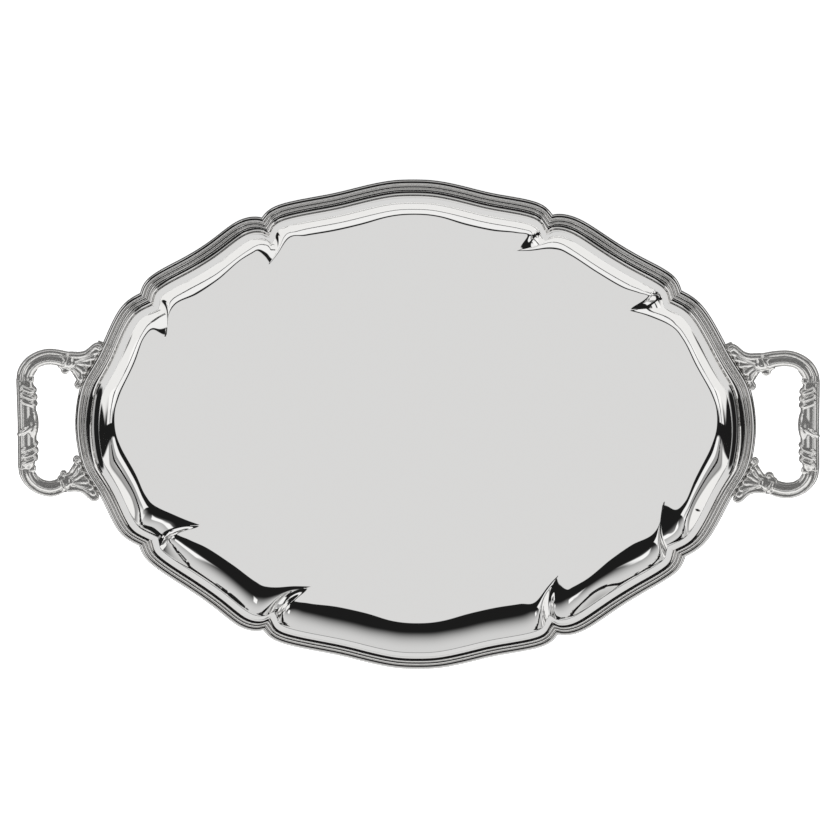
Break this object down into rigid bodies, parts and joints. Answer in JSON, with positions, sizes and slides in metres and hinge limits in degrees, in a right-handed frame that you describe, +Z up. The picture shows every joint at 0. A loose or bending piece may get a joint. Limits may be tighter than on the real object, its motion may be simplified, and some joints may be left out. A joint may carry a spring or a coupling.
{
  "type": "serving tray",
  "caption": "Oval silver-plated serving tray with a scalloped, reeded rim, a deep flat well and rigid scroll handles at both ends.",
  "frame": {"origin": "middle of the well's flat underside, on the surface the tray stands on", "axes": "+X along the tray's length towards one handle, +Y across it towards the back long side, +Z up out of the well"},
  "size_m": [0.6134, 0.4126, 0.0231],
  "materials": {
    "plate_silver": "mirror-polished silver plate",
    "border_silver": "bright silver plate, reeded",
    "handle_silver": "cast silver plate, satin-bright with darker hollows",
    "screw_metal": "plain nickel-plated screw"
  },
  "bodies": {
    "root": {"tray_plate": "plate_silver", "border_back": "border_silver", "border_back_right": "border_silver", "border_right": "border_silver", "border_front_right": "border_silver", "border_front": "border_silver", "border_front_left": "border_silver", "border_left": "border_silver", "border_back_left": "border_silver", "handle_right_grip": "handle_silver", "handle_right_back_arm": "handle_silver", "handle_right_back_foot": "handle_silver", "screw_right_back": "screw_metal", "handle_right_front_arm": "handle_silver", "handle_right_front_foot": "handle_silver", "screw_right_front": "screw_metal", "handle_left_grip": "handle_silver", "handle_left_back_arm": "handle_silver", "handle_left_back_foot": "handle_silver", "screw_left_back": "screw_metal", "handle_left_front_arm": "handle_silver", "handle_left_front_foot": "handle_silver", "screw_left_front": "screw_metal"}
  },
  "joints": []
}
